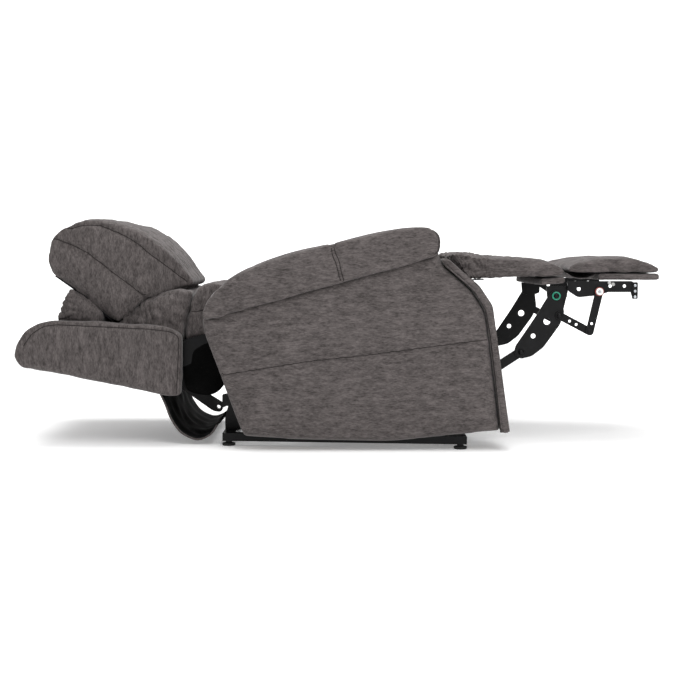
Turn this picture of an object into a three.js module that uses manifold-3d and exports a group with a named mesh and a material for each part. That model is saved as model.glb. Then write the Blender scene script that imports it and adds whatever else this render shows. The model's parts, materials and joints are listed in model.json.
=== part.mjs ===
// Lift recliner chair, fully reclined. Millimetres, +X towards the feet, +Y to the sitter's left, +Z up.
import * as THREE from "three";
import { mergeVertices } from "three/addons/utils/BufferGeometryUtils.js";
import Module from "manifold-3d";

const wasm = await Module();
wasm.setup();

// ---- driving dimensions -------------------------------------------------------------------------
const GAP = 0.4; // air between pieces that touch
const SEAT_HALF = 280; // half the width of the seat, back and footrest cushions
const ARM_INNER = 290; // |y| of the arm's inner face
const ARM_OUTER = 425; // |y| of the arm's outer face
const PAD_OUTER = 440; // |y| of the arm pad's outer face
const PANEL = 15; // thickness of the arm's inner panel
const SIDE_SKIN = 40; // thickness of the padded outer side
const WING_INNER = 282; // |y| of the back wing's inner face
const WING_OUTER = 335; // |y| of the back wing's outer face

// Places in the world at rest, as [x, z].
const CHAIR_ORIGIN = [459, 54]; // front lower corner of the side panel
const LIFT_PIVOT = [-200, 85]; // lift arm on the base
const FRAME_PIVOT = [290, 75]; // lift arm on the lift frame
const LINK_PIVOT = [-277, 138]; // rear lift link on the base
const LINK_HEAD = [260, 100]; // rear lift link beside the lift frame
const CRANK_HEAD = [-80, 225]; // where the lift actuator pushes
const MOTOR_PIVOT = [300, 45]; // lift actuator on the base
const TILT_PIVOT = [300, 120]; // chair on the lift frame
const CHAIR_LEAN = 8; // degrees the seat leans back when fully reclined
const BACK_LEAN = 79; // degrees the back leans from upright when fully reclined

// Places in the leaned chair frame, as [forward, up].
const RECLINE_PIVOT = [-717, 349];
const FOOT_PIVOT = [-112, 256];
const KNEE = [85, 198]; // foot arm to blade
const OTTOMAN_PIVOT = [204, 341]; // blade to ottoman
const V_LOWER_PIVOT = [205, 285];
const V_UPPER_PIVOT = [323, 337];
const V_APEX = [282, 229.5];
const FOOT_MOTOR = [-410, 262];
const RECLINE_MOTOR = [-470, 240];
const RECLINE_LEVER = [-215, 10]; // in the back's frame, [normal, along]
const HEAD_PIVOT = [-19, 328]; // in the back's frame

// |y| planes of the steel linkages, each [near, far].
const LINK_PLANE = [214, 220];
const ARM_PLANE = [225, 233];
const FRAME_PLANE = [240, 246];
const RAIL_PLANE = [250, 256];
const FOOT_ARM_PLANE = [260, 265];
const BLADE_PLANE = [268, 273];
const SLIDE_PLANE = [276, 281];
const V_UPPER_PLANE = [283, 288];
const BRACKET_PLANE = [202, 208];

const PIN = 7; // pin radius
const HOLE = 9; // clearance hole radius
const SIDES = [["left", 1], ["right", -1]];

// ---- materials ----------------------------------------------------------------------------------
const finish = (color, roughness, metalness) => ({ color, roughness, metalness });
const FABRIC = finish(0x5a5654, 0.95, 0);
const LINING = finish(0x1b1b1c, 0.95, 0);
const STEEL = finish(0x1c1d1f, 0.45, 0.7);
const ZINC = finish(0xb9bdc2, 0.35, 1);
const WOOD = finish(0xa88a62, 0.8, 0);
const BOARD = finish(0x6d6a68, 0.9, 0);
const PLASTIC = finish(0x232427, 0.55, 0);
const RUBBER = finish(0x151515, 0.9, 0);

// ---- helpers ------------------------------------------------------------------------------------
const radians = THREE.MathUtils.degToRad;

function part(name, geometry, look, parent) {
  const mesh = new THREE.Mesh(geometry, new THREE.MeshStandardMaterial(look));
  mesh.name = name;
  parent.add(mesh);
}

// A group at [x, z] in its parent, turned about Y; positive turns its front down.
function pivot(parent, [x, z], degrees = 0) {
  const group = new THREE.Group();
  group.position.set(x, 0, z);
  group.rotation.y = radians(degrees);
  parent.add(group);
  return group;
}

const span = ([x1, z1], [x2, z2]) => Math.hypot(x2 - x1, z2 - z1);

const less = ([x, z], [originX, originZ]) => [x - originX, z - originZ];

// Turn that points a group's X axis from one place to another.
function heading([fromX, fromZ], [toX, toZ]) {
  return THREE.MathUtils.radToDeg(Math.atan2(fromZ - toZ, toX - fromX));
}

// A closed outline of [x, z] corners; a third number rounds the corner by that distance, as far as
// its two edges allow.
function outline(listed) {
  const clockwise = THREE.ShapeUtils.area(listed.map(([x, y]) => ({ x, y }))) < 0;
  const corners = clockwise ? [...listed].reverse() : listed;
  const shape = new THREE.Shape();
  corners.forEach(([x, z, wanted = 0], index) => {
    const here = new THREE.Vector2(x, z);
    const last = corners[(index + corners.length - 1) % corners.length];
    const next = corners[(index + 1) % corners.length];
    const round = Math.min(wanted, 0.45 * span(here, last), 0.45 * span(here, next));
    const start = new THREE.Vector2(last[0], last[1]).sub(here).setLength(round).add(here);
    const end = new THREE.Vector2(next[0], next[1]).sub(here).setLength(round).add(here);
    if (index === 0) shape.moveTo(start.x, start.y);
    else shape.lineTo(start.x, start.y);
    if (round > 0) shape.quadraticCurveTo(x, z, end.x, end.y);
  });
  shape.closePath();
  return shape;
}

// A side profile swept across the chair, from yLow to yHigh.
function sweep(shape, yLow, yHigh, curveSegments = 4) {
  const options = { depth: yHigh - yLow, bevelEnabled: false, curveSegments };
  return new THREE.ExtrudeGeometry(shape, options).rotateX(Math.PI / 2).translate(0, yHigh, 0);
}

const slab = (corners, yLow, yHigh) => sweep(outline(corners), yLow, yHigh);

// The same slab on one side of the chair, between two distances from its middle plane.
function sideSlab(corners, side, near, far) {
  return slab(corners, Math.min(side * near, side * far), Math.max(side * near, side * far));
}

// A flat steel plate with round holes, given as [x, z, radius].
function plate(corners, holes, side, [near, far]) {
  const shape = outline(corners);
  for (const [x, z, radius] of holes) {
    shape.holes.push(new THREE.Path().absarc(x, z, radius, 0, 2 * Math.PI, true));
  }
  return sweep(shape, Math.min(side * near, side * far), Math.max(side * near, side * far), 6);
}

// A flat bar with round ends between two places, with a hole at each end unless told otherwise.
function bar([x1, z1], [x2, z2], width, side, [near, far], holes = [HOLE, HOLE]) {
  const angle = Math.atan2(z2 - z1, x2 - x1);
  const shape = new THREE.Shape();
  shape.absarc(x1, z1, width / 2, angle + Math.PI / 2, angle + 1.5 * Math.PI, false);
  shape.absarc(x2, z2, width / 2, angle - Math.PI / 2, angle + Math.PI / 2, false);
  shape.closePath();
  [[x1, z1, holes[0]], [x2, z2, holes[1]]].forEach(([x, z, radius]) => {
    if (radius) shape.holes.push(new THREE.Path().absarc(x, z, radius, 0, 2 * Math.PI, true));
  });
  return sweep(shape, Math.min(side * near, side * far), Math.max(side * near, side * far), 6);
}

// A round bar along Y.
function rod([x, z], radius, yLow, yHigh, sides = 12) {
  const length = yHigh - yLow;
  return new THREE.CylinderGeometry(radius, radius, length, sides).translate(x, (yLow + yHigh) / 2, z);
}

const sideRod = (place, radius, side, near, far) =>
  rod(place, radius, Math.min(side * near, side * far), Math.max(side * near, side * far));

// A box between two corners.
function box([x1, y1, z1], [x2, y2, z2]) {
  const geometry = new THREE.BoxGeometry(x2 - x1, y2 - y1, z2 - z1);
  return geometry.translate((x1 + x2) / 2, (y1 + y2) / 2, (z1 + z2) / 2);
}

function solid(geometry) {
  const bare = geometry.clone();
  bare.deleteAttribute("normal");
  bare.deleteAttribute("uv");
  const merged = mergeVertices(bare, 1e-4);
  const vertProperties = new Float32Array(merged.attributes.position.array);
  const triVerts = new Uint32Array(merged.index.array);
  return new wasm.Manifold(new wasm.Mesh({ numProp: 3, vertProperties, triVerts }));
}

function surface(manifold) {
  const { vertProperties, triVerts } = manifold.getMesh();
  const geometry = new THREE.BufferGeometry();
  geometry.setAttribute("position", new THREE.BufferAttribute(vertProperties, 3));
  geometry.setIndex(new THREE.BufferAttribute(triVerts, 1));
  geometry.computeVertexNormals();
  return geometry;
}

function weld(...pieces) {
  return surface(pieces.map(solid).reduce((sum, piece) => sum.add(piece)));
}

function cut(body, ...tools) {
  return surface(tools.map(solid).reduce((rest, tool) => rest.subtract(tool), solid(body)));
}

// ---- base ---------------------------------------------------------------------------------------
const chair = new THREE.Group();
const RAIL_LOW = 14;
const RAIL_HIGH = 36;
const BASE_REAR = -325;
const BASE_FRONT = 355;
const REAR_TRACK = 290; // |y| of the rear feet
const FRONT_TRACK = 362; // |y| of the front feet
const TUBE = 30;

function baseRail(side) {
  const shape = new THREE.Shape();
  const half = TUBE / 2;
  shape.moveTo(BASE_REAR, side * (REAR_TRACK - half));
  shape.lineTo(BASE_FRONT, side * (FRONT_TRACK - half));
  shape.lineTo(BASE_FRONT, side * (FRONT_TRACK + half));
  shape.lineTo(BASE_REAR, side * (REAR_TRACK + half));
  shape.closePath();
  const height = RAIL_HIGH - RAIL_LOW;
  const rail = new THREE.ExtrudeGeometry(shape, { depth: height, bevelEnabled: false });
  return rail.translate(0, 0, RAIL_LOW);
}

function liftBracket(side) {
  const corners = [
    [BASE_REAR, 30], [BASE_REAR, 70], [-302, 156, 14], [-252, 156, 14],
    [-180, 104, 10], [-180, 68, 10], [-240, 52], [-292, 30],
  ];
  const bracket = plate(corners, [], side, BRACKET_PLANE);
  const armPin = sideRod(LIFT_PIVOT, PIN, side, 204, 235);
  const linkPin = sideRod(LINK_PIVOT, PIN, side, 204, 222);
  return [bracket, armPin, linkPin];
}

function actuatorLug(side) {
  return bar([332, 30], MOTOR_PIVOT, 22, side, [10, 16], [0, HOLE]);
}

const crossTube = (x1, x2, half) => box([x1, -half, RAIL_LOW], [x2, half, RAIL_HIGH]);
part("base_frame", weld(
  crossTube(BASE_FRONT - 35, BASE_FRONT, FRONT_TRACK),
  crossTube(BASE_REAR, BASE_REAR + 35, REAR_TRACK),
  ...SIDES.flatMap(([, side]) => [baseRail(side), ...liftBracket(side), actuatorLug(side)]),
), STEEL, chair);

function levellingFoot() {
  const profile = [
    [0, 0], [17, 0], [18.5, 2], [18.5, 7], [9, 9.5], [9, RAIL_LOW - GAP], [0, RAIL_LOW - GAP],
  ];
  const points = profile.map(([radius, z]) => new THREE.Vector2(radius, z));
  return new THREE.LatheGeometry(points, 16).rotateX(Math.PI / 2);
}
for (const [name, side] of SIDES) {
  part(`foot_front_${name}`, levellingFoot().translate(338, side * (FRONT_TRACK - 2), 0), RUBBER, chair);
  part(`foot_rear_${name}`, levellingFoot().translate(-308, side * REAR_TRACK, 0), RUBBER, chair);
}

// ---- linear actuators ---------------------------------------------------------------------------
// Built along X from the eye at the motor end; the rod slides inside the outer tube.
const TUBE_RADIUS = 15;
const BORE_RADIUS = 11;
const ROD_RADIUS = 8;
const EYE_HALF = 7;

function alongX(radius, x1, x2, y = 0) {
  const cylinder = new THREE.CylinderGeometry(radius, radius, x2 - x1, 12);
  return cylinder.rotateZ(Math.PI / 2).translate((x1 + x2) / 2, y, 0);
}

function actuatorHousing(tubeEnd, canSide) {
  const eye = weld(rod([0, 0], 12, -EYE_HALF, EYE_HALF), box([0, -EYE_HALF, -9], [20, EYE_HALF, 9]));
  const gearCase = box([16, Math.min(-22, canSide * 64), -20], [52, Math.max(22, canSide * 64), 20]);
  const can = alongX(19, 50, 150, canSide * 42);
  const tube = alongX(TUBE_RADIUS, 50, tubeEnd);
  const bore = alongX(BORE_RADIUS, 70, tubeEnd + 5);
  const eyeHole = rod([0, 0], 6, -EYE_HALF - 1, EYE_HALF + 1);
  return cut(weld(eye, gearCase, can, tube), bore, eyeHole);
}

function actuatorRod(tail, length) {
  const shaft = alongX(ROD_RADIUS, tail, length - 6);
  const eye = rod([length, 0], 12, -EYE_HALF, EYE_HALF);
  return cut(weld(shaft, eye), rod([length, 0], 6, -EYE_HALF - 1, EYE_HALF + 1));
}

// ---- lift mechanism -----------------------------------------------------------------------------
const liftActuator = pivot(chair, MOTOR_PIVOT, heading(MOTOR_PIVOT, CRANK_HEAD));
part("lift_motor", actuatorHousing(300, 1), PLASTIC, liftActuator);
part("lift_rod", actuatorRod(125, span(MOTOR_PIVOT, CRANK_HEAD)), ZINC, liftActuator);

const liftArms = pivot(chair, LIFT_PIVOT);
const armHead = less(FRAME_PIVOT, LIFT_PIVOT);
const crankHead = less(CRANK_HEAD, LIFT_PIVOT);
const torqueTube = [crankHead[0], -2];
part("lift_arms", weld(
  rod(torqueTube, 15, -ARM_PLANE[0] - 2, ARM_PLANE[0] + 2),
  ...SIDES.flatMap(([, side]) => [
    bar([0, 0], armHead, 24, side, ARM_PLANE),
    bar(torqueTube, crankHead, 34, side, [18, 24], [0, HOLE]),
  ]),
), STEEL, liftArms);

for (const [name, side] of SIDES) {
  const link = pivot(chair, LINK_PIVOT);
  const reach = less(LINK_HEAD, LINK_PIVOT);
  part(`lift_link_${name}`, bar([0, 0], reach, 18, side, LINK_PLANE, [8.5, 6]), STEEL, link);
}

const liftFrame = pivot(chair, FRAME_PIVOT);
function liftSide(side) {
  const corners = [
    [-330, 106], [-330, 140, 6], [-280, 146], [250, 146], [318, 142, 12], [318, 96], [308, 58, 14],
    [272, 58, 12], [262, 96, 6], [220, 106],
  ].map(([x, z, round]) => [...less([x, z], FRAME_PIVOT), round]);
  const face = plate(corners, [], side, FRAME_PLANE);
  const armPin = sideRod([0, 0], PIN, side, 223, 243);
  const tiltPin = sideRod(less(TILT_PIVOT, FRAME_PIVOT), PIN, side, 243, 258);
  return [face, armPin, tiltPin];
}
const frameTube = box([-58, -242, 43], [-30, 242, 67]);
part("lift_frame", weld(frameTube, ...SIDES.flatMap(([, side]) => liftSide(side))), STEEL, liftFrame);

// ---- chair: arms --------------------------------------------------------------------------------
const seat = pivot(chair, CHAIR_ORIGIN, -CHAIR_LEAN);
const FRONT_SKIN = 22; // depth of the padded arm front

// Underside of the arm pad, a straight line that falls towards the back.
const padUnder = (forward) => 499 + (forward + 122) * 0.1308;

const sideOutline = [
  [-15, 4], [-15, 338, 16], [-44, 396, 16], [-113, 472], [-116, padUnder(-116) - 4],
  [-772, padUnder(-772) - 4], [-778, 408], [-710, 88, 8], [-559, 57, 30], [-319, 18, 30],
];
const innerOutline = [
  [-15, 48], [-15, 338, 16], [-44, 396, 16], [-113, 472], [-116, padUnder(-116) - 6],
  [-766, padUnder(-766) - 6], [-700, 104], [-400, 64],
];
const frameOuter = [
  [-32, 34], [-32, 335], [-122, 466], [-752, 388], [-698, 116], [-555, 86], [-315, 50],
];
const frameInner = [
  [-80, 84], [-80, 320], [-142, 410], [-703, 340], [-662, 158], [-540, 130], [-310, 96],
];
const frontOutline = [
  [8, -3, 4], [8, 345, 30], [-22, 406, 25], [-92, 482, 4], [-110, 472, 4], [-41, 395, 16],
  [8 - FRONT_SKIN, 338, 16], [8 - FRONT_SKIN, -3, 4],
];
const padOutline = [
  [-772, padUnder(-772), 4], [-776, 440, 14], [-738, 494, 25], [-625, 549, 30], [-487, 570, 30],
  [-377, 579], [-212, 593, 30], [-131, 586, 18], [-104, 563, 14], [-103, 530, 14],
  [-120, padUnder(-120), 4],
];

for (const [name, side] of SIDES) {
  part(`arm_side_${name}`, sideSlab(sideOutline, side, ARM_OUTER - SIDE_SKIN, ARM_OUTER), FABRIC, seat);
  const hinge = [...RECLINE_PIVOT, HOLE + 1];
  const panel = [ARM_INNER, ARM_INNER + PANEL];
  part(`arm_inner_${name}`, plate(innerOutline, [hinge], side, panel), FABRIC, seat);
  part(`arm_front_${name}`, sideSlab(frontOutline, side, ARM_INNER, ARM_OUTER), FABRIC, seat);
  part(`arm_frame_${name}`, cut(
    sideSlab(frameOuter, side, 330, 360),
    sideSlab(frameInner, side, 320, 370),
  ), WOOD, seat);
  part(`arm_pad_${name}`, sideSlab(padOutline, side, ARM_INNER + 1, PAD_OUTER), FABRIC, seat);
}

// ---- chair: seat --------------------------------------------------------------------------------
const FRONT_TUBE = [-150, 296, 30, 24]; // forward, up, depth, height
const MOTOR_TUBE = [-455, 286, 30, 24];
const DECK = 328;

function seatTube([x, z, depth, height]) {
  return box([x, -ARM_INNER + GAP, z], [x + depth, ARM_INNER - GAP, z + height]);
}

function seatRail(side) {
  const corners = [
    [-90, 325, 6], [-90, 232, 10], [-126, 104], [-128, 68, 12], [-168, 68, 12], [-176, 110],
    [-190, 262, 20], [-645, 262, 6], [-645, 325, 6],
  ];
  const tilt = less(TILT_PIVOT, CHAIR_ORIGIN);
  const turned = new THREE.Vector2(...tilt).rotateAround(new THREE.Vector2(), radians(-CHAIR_LEAN));
  const rail = plate(corners, [[...FOOT_PIVOT, 12], [turned.x, turned.y, HOLE]], side, RAIL_PLANE);
  const slots = [FRONT_TUBE, MOTOR_TUBE].map(([x, z, depth, height]) =>
    box([x - 1, -400, z - 1], [x + depth + 1, 400, z + height + 1]));
  return cut(rail, ...slots);
}

for (const [name, side] of SIDES) part(`seat_rail_${name}`, seatRail(side), STEEL, seat);

// Lugs under the motor tube hold the eyes of the footrest and recline actuators.
const FOOT_LINE = 120; // y of the footrest actuator
const RECLINE_LINE = -120; // y of the recline actuator
function lugPair(tip, y) {
  const root = [MOTOR_TUBE[0] + 15, MOTOR_TUBE[1] + 10];
  return [8, -14].map((offset) => bar(root, tip, 26, 1, [y + offset, y + offset + 6], [0, 6]));
}
part("seat_tube_front", seatTube(FRONT_TUBE), STEEL, seat);
part("seat_tube_motor", weld(
  seatTube(MOTOR_TUBE), ...lugPair(FOOT_MOTOR, FOOT_LINE), ...lugPair(RECLINE_MOTOR, RECLINE_LINE),
), STEEL, seat);
part("seat_deck", box([-585, -285, DECK], [-80, 285, DECK + 5]), BOARD, seat);
part("control_box", box([-330, -200, 284], [-170, -60, DECK - GAP]), PLASTIC, seat);
part("seat_cushion", slab([
  [-62, DECK + 6, 6], [-62, 415, 8], [-117, 476, 20], [-150, 484, 25], [-300, 455, 60], [-580, 420, 20],
  [-580, DECK + 6, 6],
], -SEAT_HALF, SEAT_HALF), FABRIC, seat);

// ---- backrest -----------------------------------------------------------------------------------
// X is the normal of the back's face and Z runs up the back, from the recline pivot.
const back = pivot(seat, RECLINE_PIVOT, CHAIR_LEAN - BACK_LEAN);
const BACK_TOP = 548;

function backHinge(side) {
  const corners = [
    [-112, 130], [-112, 240], [-80, 240], [20, 30, 14], [20, -18, 14], [-18, -18, 14], [-70, 70, 10],
  ];
  const arm = plate(corners, [], side, [274, 279]);
  return [arm, sideRod([0, 0], PIN + 1, side, 276, 302)];
}
function reclineLever(offset) {
  const corners = [
    [-95, 160], [-95, 130], [-156, 124, 8], [-203, -2, 10], [-228, -2, 10], [-230, 22, 10], [-172, 150],
    [-110, 160],
  ];
  return plate(corners, [[...RECLINE_LEVER, 6]], 1, [RECLINE_LINE + offset, RECLINE_LINE + offset + 6]);
}
part("back_frame", weld(
  box([-112, -276, 130], [-94, 276, BACK_TOP - 12]),
  reclineLever(8), reclineLever(-14),
  ...SIDES.flatMap(([, side]) => backHinge(side)),
), STEEL, back);
part("back_pad", slab([
  [-93, 142], [116, 142, 6], [62, 250, 10], [-20, 316, 8], [-46, 330], [-58, 500, 20],
  [-93, BACK_TOP - 12, 10],
], -272, 272), FABRIC, back);
part("back_cover", slab([
  [-186, 172, 6], [-173, 172], [-173, BACK_TOP - 4], [-184, BACK_TOP - 4, 6],
], -WING_INNER + 2, WING_INNER - 2), FABRIC, back);

const wingOutline = [
  [-162, 573, 8], [-125, 572, 20], [-89, 559, 20], [-60, 528, 20], [-42, 484], [-22, 361], [-1, 224],
  [1, 168, 20], [-12, 134, 8], [-94, 121], [-177, 111, 5], [-186, 132, 10], [-183, 330], [-184, 470, 20],
  [-186, 549, 10],
];
for (const [name, side] of SIDES) {
  part(`back_wing_${name}`, sideSlab(wingOutline, side, WING_INNER, WING_OUTER), FABRIC, back);
}

part("lumbar_cushion", slab([
  [-30, 132, 6], [110, 132, 20], [143, 100, 20], [150, 52, 20], [130, 12, 15], [108, 2, 8], [60, 8],
  [-10, 31, 8],
], -270, 270), FABRIC, back);
part("back_lining", slab([
  [-150, 10, 6], [-150, 118], [-42, 118], [-36, 110], [-20, 34], [-36, 10, 6],
], -270, 270), LINING, back);

// The loose flap hangs in a U under the back's lower edge; it is a strip of one thickness.
const FLAP_THICK = 4;
function hangingFlap() {
  const route = new THREE.SplineCurve([
    [-194, 168], [-216, 150], [-255, 128], [-291, 92], [-303, 40], [-275, 2], [-248, -4],
  ].map(([x, z]) => new THREE.Vector2(x, z))).getPoints(16);
  const inner = route.map((point, index) => {
    const ahead = route[Math.min(index + 1, 16)];
    const behind = route[Math.max(index - 1, 0)];
    const along = ahead.clone().sub(behind).normalize();
    return new THREE.Vector2(point.x - along.y * FLAP_THICK, point.y + along.x * FLAP_THICK);
  });
  return sweep(new THREE.Shape([...route, ...inner.reverse()]), -278, 278);
}
part("back_flap", hangingFlap(), FABRIC, back);

// ---- headrest -----------------------------------------------------------------------------------
const head = pivot(back, HEAD_PIVOT);
const pillowOutline = [
  [113, 546, 6], [132, 551, 8], [176, 546, 14], [216, 517, 20], [245, 465], [255, 410], [251, 324],
  [226, 247], [184, 182], [142, 137, 6], [128, 138, 6], [67, 256], [-14, 324, 8], [28, 395], [66, 465],
  [90, 521],
].map(([x, z, round]) => [...less([x, z], HEAD_PIVOT), round]);
part("head_pillow", slab(pillowOutline, -SEAT_HALF, SEAT_HALF), FABRIC, head);
part("headrest_plate", slab([
  [-27, 330], [-21, 332], [18, 394], [58, 467], [82, 522], [76, 525], [51, 470], [12, 398],
].map(([x, z]) => less([x, z], HEAD_PIVOT)), -250, 250), STEEL, head);
part("headrest_gusset", slab([
  [48, 471], [44, 474], [-44, 494], [-40, 372], [-6, 372], [8, 396],
].map(([x, z]) => less([x, z], HEAD_PIVOT)), -262, 262), FABRIC, head);

// ---- footrest -----------------------------------------------------------------------------------
const footArms = pivot(seat, FOOT_PIVOT);
const ELBOW = [112, -98];
const knee = less(KNEE, FOOT_PIVOT);
for (const [name, side] of SIDES) {
  part(`foot_arm_${name}`, weld(
    bar([0, 0], ELBOW, 28, side, FOOT_ARM_PLANE, [0, 0]),
    bar(ELBOW, knee, 26, side, FOOT_ARM_PLANE, [0, 0]),
    sideRod(knee, PIN, side, 262, 275),
  ), STEEL, footArms);
}
const FOOT_LUG = [36, -27];
part("foot_shaft", weld(
  rod([0, 0], 9, -FOOT_ARM_PLANE[0] + GAP, FOOT_ARM_PLANE[0] - GAP),
  ...[8, -13].map((offset) =>
    bar([0, 0], FOOT_LUG, 22, 1, [FOOT_LINE + offset, FOOT_LINE + offset + 5], [0, 6])),
), STEEL, footArms);

const blades = pivot(seat, KNEE);
const bladeOutline = [
  [-19, 0, 8], [-5, -19, 8], [28, -16, 8], [64, 4, 10], [118, 60, 10], [135, 90, 10], [136, 150, 10],
  [118, 161, 10], [100, 150, 10], [56, 96, 10], [-14, 18, 8],
];
for (const [name, side] of SIDES) {
  const holes = [[0, 0, HOLE], [...less(OTTOMAN_PIVOT, KNEE), HOLE], [40, 40, 7], [84, 76, 10]];
  part(`foot_blade_${name}`, weld(
    plate(bladeOutline, holes, side, BLADE_PLANE),
    sideRod(less(V_LOWER_PIVOT, KNEE), PIN, side, 270, 282),
  ), STEEL, blades);
}
const V_WIDTH = 22;
const SPARE_HOLE = 4; // radius
// Drills a spare hole through a V link, at a share of the way to its apex.
const spare = ([x, z], share, side) => sideRod([x * share, z * share], SPARE_HOLE, side, 270, 295);
for (const [name, side] of SIDES) {
  const link = pivot(seat, V_LOWER_PIVOT);
  const apex = less(V_APEX, V_LOWER_PIVOT);
  part(`v_link_lower_${name}`, cut(
    bar([0, 0], apex, V_WIDTH, side, SLIDE_PLANE, [8.5, 6]),
    weld(...[0.34, 0.56].map((share) => spare(apex, share, side))),
  ), STEEL, link);
}

const ottoman = pivot(seat, OTTOMAN_PIVOT, CHAIR_LEAN); // level in the world
for (const [name, side] of SIDES) {
  part(`ottoman_bracket_${name}`, weld(
    plate([[-27, 27.5], [32, 27.5], [32, -6, 8], [0, -15, 10], [-24, -8, 8]], [], side, FOOT_ARM_PLANE),
    sideRod([0, 0], PIN, side, 262, 275),
  ), STEEL, ottoman);
}
part("ottoman_board", box([-44, -270, 28], [26, 270, 56]), BOARD, ottoman);

const slideOutline = [
  [29, 42, 4], [212, 42, 4], [226, 24, 4], [226, -6, 5], [212, -4, 5], [208, 11], [145, 11], [117, 2, 8],
  [60, -4, 8], [32, 14, 6],
];
const toOttoman = ([x, z]) => {
  const place = new THREE.Vector2(...less([x, z], OTTOMAN_PIVOT));
  place.rotateAround(new THREE.Vector2(), radians(CHAIR_LEAN));
  return [place.x, place.y];
};
for (const [name, side] of SIDES) {
  const holes = [[62, 20, 6], [150, 28, 5], [190, 28, 5], [218, 8, 4]];
  part(`footrest_slide_${name}`, weld(
    plate(slideOutline, holes, side, SLIDE_PLANE),
    sideRod(toOttoman(V_UPPER_PIVOT), PIN, side, 278, 289),
  ), STEEL, ottoman);
}
part("footrest_board", box([119, -275, 43.5], [290, 275, 64]), BOARD, ottoman);
part("footrest_pad", slab([
  [32, 69, 8], [34, 82, 8], [52, 94, 12], [93, 101], [149, 107], [220, 107, 20], [262, 98, 15],
  [284, 84, 8], [293, 72, 6], [284, 66], [60, 66],
], -SEAT_HALF, SEAT_HALF), FABRIC, ottoman);
part("chaise_pad", slab([
  [306, 536, 8], [342, 543, 20], [399, 532], [455, 528], [539, 524], [595, 515], [631, 501, 10],
  [640, 488, 6], [630, 478, 4], [560, 478], [455, 472], [370, 468, 10],
].map(([x, z, round]) => [x - 614, z - 420, round]), -SEAT_HALF, SEAT_HALF), FABRIC, ottoman);

for (const [name, side] of SIDES) {
  const link = pivot(seat, V_UPPER_PIVOT);
  const apex = less(V_APEX, V_UPPER_PIVOT);
  part(`v_link_upper_${name}`, cut(
    bar([0, 0], apex, V_WIDTH, side, V_UPPER_PLANE, [8.5, 6]),
    spare(apex, 0.8, side),
  ), STEEL, link);
}

// ---- seat actuators -----------------------------------------------------------------------------
const footLug = [FOOT_PIVOT[0] + FOOT_LUG[0], FOOT_PIVOT[1] + FOOT_LUG[1]];
const footActuator = pivot(seat, FOOT_MOTOR, heading(FOOT_MOTOR, footLug));
footActuator.position.y = FOOT_LINE;
part("foot_motor", actuatorHousing(240, 1), PLASTIC, footActuator);
part("foot_rod", actuatorRod(150, span(FOOT_MOTOR, footLug)), ZINC, footActuator);

const turn = radians(BACK_LEAN - CHAIR_LEAN);
const [leverOut, leverUp] = RECLINE_LEVER;
const reclineTip = [
  RECLINE_PIVOT[0] + leverOut * Math.cos(turn) - leverUp * Math.sin(turn),
  RECLINE_PIVOT[1] + leverOut * Math.sin(turn) + leverUp * Math.cos(turn),
];
const reclineActuator = pivot(seat, RECLINE_MOTOR, heading(RECLINE_MOTOR, reclineTip));
reclineActuator.position.y = RECLINE_LINE;
part("recline_motor", actuatorHousing(240, 1), PLASTIC, reclineActuator);
part("recline_rod", actuatorRod(90, span(RECLINE_MOTOR, reclineTip)), ZINC, reclineActuator);

// ---- origin: on the floor, under the middle of the whole chair -------------------------------------
const extent = new THREE.Box3().setFromObject(chair, true);
chair.position.x = -(extent.min.x + extent.max.x) / 2;

export default chair;
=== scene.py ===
"""Power lift recliner, fully reclined: its upholstery, sewing, steelwork and finishes."""
import json
import math

import bmesh
import bpy
import numpy as np
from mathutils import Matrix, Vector
from mathutils.bvhtree import BVHTree
from mathutils.kdtree import KDTree


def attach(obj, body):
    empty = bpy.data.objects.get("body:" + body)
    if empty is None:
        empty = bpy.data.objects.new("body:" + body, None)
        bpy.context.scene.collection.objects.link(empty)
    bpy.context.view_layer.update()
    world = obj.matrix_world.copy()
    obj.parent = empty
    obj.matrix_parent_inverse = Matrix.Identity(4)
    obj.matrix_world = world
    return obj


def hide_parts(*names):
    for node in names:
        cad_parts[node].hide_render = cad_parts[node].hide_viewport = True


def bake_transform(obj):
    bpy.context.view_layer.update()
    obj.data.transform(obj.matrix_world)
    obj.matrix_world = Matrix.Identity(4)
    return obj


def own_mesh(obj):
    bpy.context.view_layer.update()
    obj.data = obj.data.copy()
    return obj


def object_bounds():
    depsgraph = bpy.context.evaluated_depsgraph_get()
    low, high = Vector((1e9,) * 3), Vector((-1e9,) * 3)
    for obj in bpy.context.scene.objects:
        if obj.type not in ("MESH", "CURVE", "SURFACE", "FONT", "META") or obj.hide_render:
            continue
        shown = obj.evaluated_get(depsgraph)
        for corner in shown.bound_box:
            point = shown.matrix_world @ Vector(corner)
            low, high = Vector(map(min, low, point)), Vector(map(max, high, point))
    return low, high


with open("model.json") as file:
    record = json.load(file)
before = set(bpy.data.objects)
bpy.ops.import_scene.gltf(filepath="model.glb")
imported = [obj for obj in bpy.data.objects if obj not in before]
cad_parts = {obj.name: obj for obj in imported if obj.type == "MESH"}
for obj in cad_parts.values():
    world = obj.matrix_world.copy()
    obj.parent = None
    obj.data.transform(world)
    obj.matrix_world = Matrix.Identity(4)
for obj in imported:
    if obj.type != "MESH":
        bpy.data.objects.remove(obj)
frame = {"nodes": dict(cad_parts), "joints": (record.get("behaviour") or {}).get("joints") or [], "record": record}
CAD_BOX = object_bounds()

bl_info = {
    "name": "Lift Recliner Upholstery",
    "version": (1, 0, 0),
    "blender": (4, 5, 0),
    "location": "3D View > Sidebar > Recliner",
    "description": "Covers, pads and finishes a power lift recliner",
    "category": "Object",
}

MM = 0.001
SIDES = (("right", -1), ("left", 1))


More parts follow.
